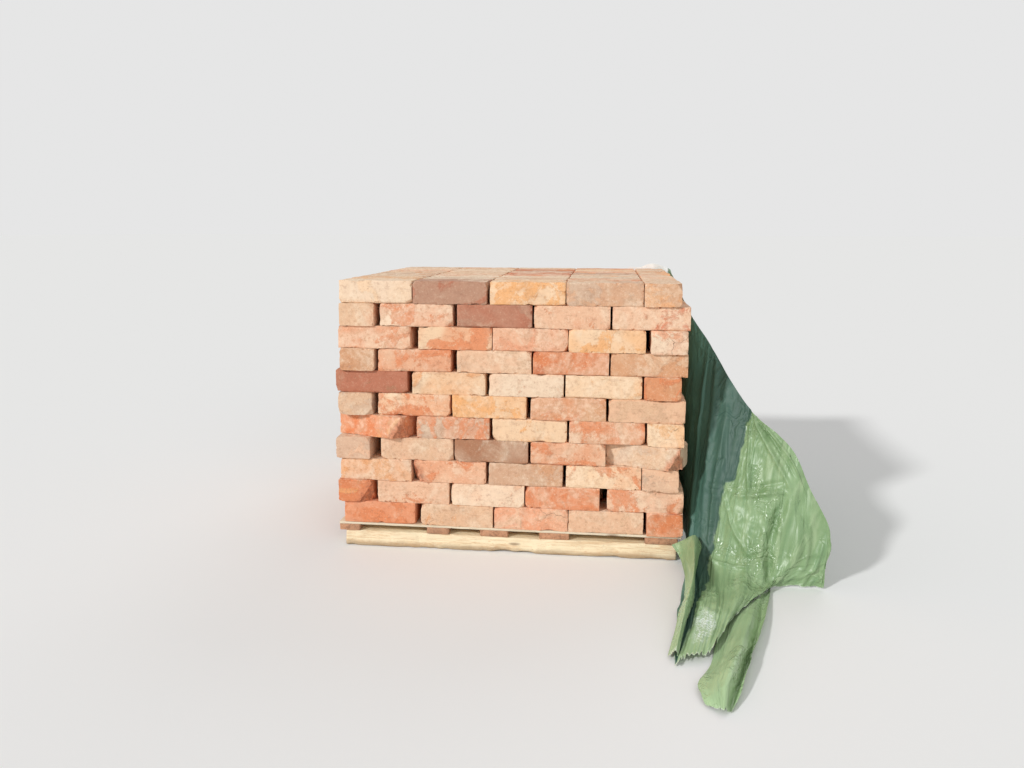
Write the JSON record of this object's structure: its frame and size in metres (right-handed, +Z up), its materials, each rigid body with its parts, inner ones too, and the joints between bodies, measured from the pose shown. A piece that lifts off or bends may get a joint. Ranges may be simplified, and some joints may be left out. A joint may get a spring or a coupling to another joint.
{
  "type": "pallet of bricks",
  "caption": "Low timber pallet carrying a dry stacked load of reclaimed clay bricks in alternating bond, with stretch film pulled off one side.",
  "frame": {"origin": "on the floor under the middle of the pallet, on the underside of the middle bearer", "axes": "+X runs to the right along the front face of the load, +Y into its depth, +Z up"},
  "size_m": [1.3729, 1.5613, 0.8238],
  "materials": {
    "brick": "matt, worn, with lime mortar residue",
    "bearer_wood": "rough sawn",
    "batten_wood": "weathered",
    "deck_wood": "rough sawn",
    "film": "glossy, crumpled, translucent"
  },
  "bodies": {
    "root": {"bearer_front": "bearer_wood", "bearer_middle": "bearer_wood", "bearer_rear": "bearer_wood", "course_01": "brick", "course_02": "brick", "course_03": "brick", "course_04": "brick", "course_05": "brick", "course_06": "brick", "course_07": "brick", "course_08": "brick", "course_09": "brick", "course_10": "brick", "course_11": "brick", "cross_batten_1": "batten_wood", "cross_batten_2": "batten_wood", "cross_batten_3": "batten_wood", "cross_batten_4": "batten_wood", "cross_batten_5": "batten_wood", "deck_board_1": "deck_wood", "deck_board_2": "deck_wood", "deck_board_3": "deck_wood", "deck_board_4": "deck_wood", "deck_board_5": "deck_wood", "deck_board_6": "deck_wood", "deck_board_7": "deck_wood", "wrap_film": "film"}
  },
  "joints": []
}
